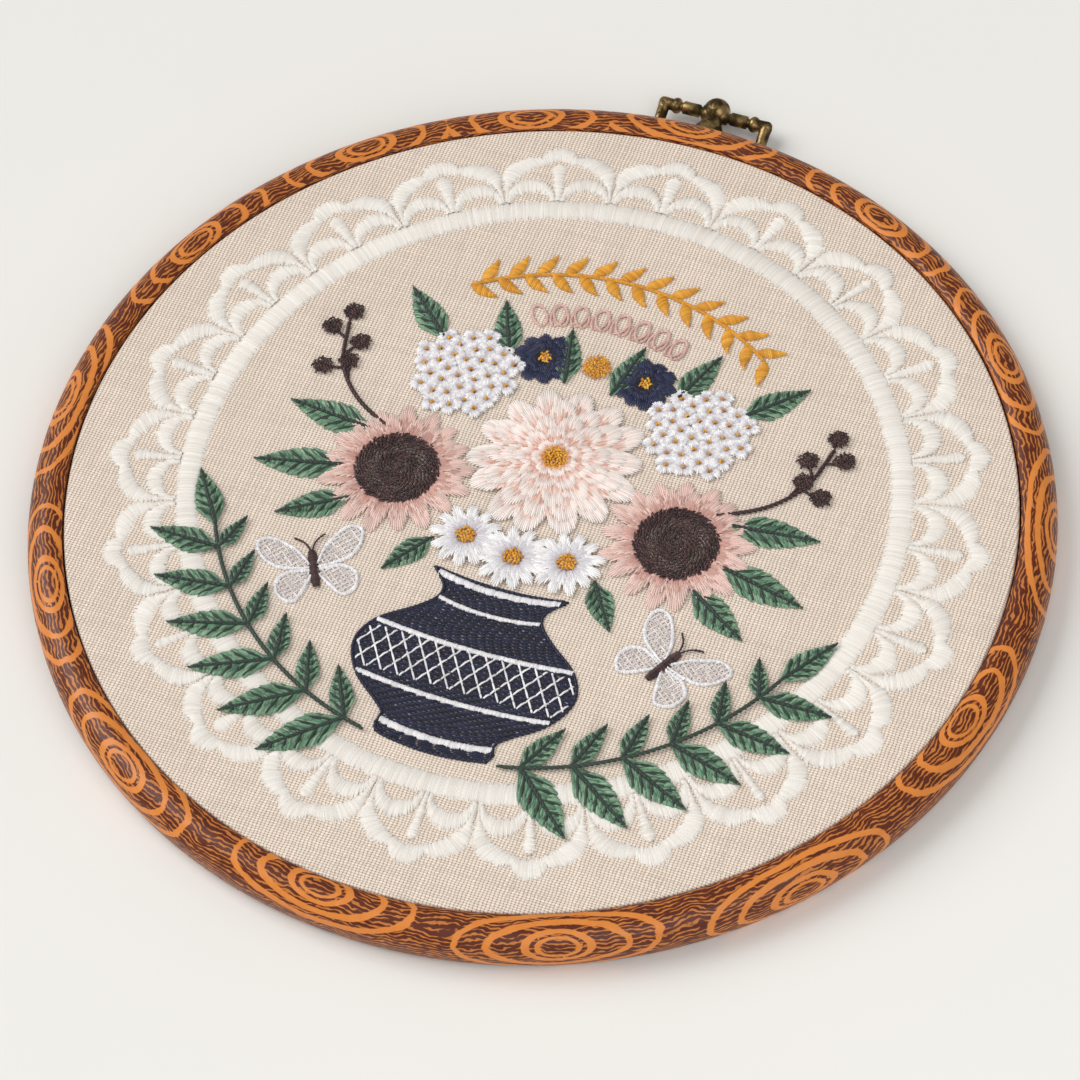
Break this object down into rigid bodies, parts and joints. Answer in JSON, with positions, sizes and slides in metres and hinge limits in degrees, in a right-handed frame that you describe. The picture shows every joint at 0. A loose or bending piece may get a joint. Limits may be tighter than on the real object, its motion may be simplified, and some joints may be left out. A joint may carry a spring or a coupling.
{
  "type": "hoop embroidery art on stretched linen, with its flexible embroidery hoop",
  "caption": "Round embroidered linen stretched flat in a flexible hoop with a rounded woodgrain-printed rim and a cast hanger; a raised scalloped lace border runs around its face.",
  "frame": {"origin": "middle of the whole outline, hanger included, on the surface that the hoop's back lies on", "axes": "+Z out of the embroidered face, +Y from the hoop's middle to its hanger, which is the design's top, +X to the design's right"},
  "size_m": [0.205, 0.215, 0.0096],
  "materials": {
    "woodgrain": "glossy soft plastic printed with orange and dark brown woodgrain rings",
    "ring_brown": "plain moulded plastic",
    "linen": "beige plain-weave linen with thread embroidery",
    "dark_brass": "antique brass, darkened in the recesses"
  },
  "bodies": {
    "root": {"outer_ring": "woodgrain", "inner_ring": "ring_brown", "cloth": "linen", "hanger": "dark_brass"}
  },
  "joints": []
}
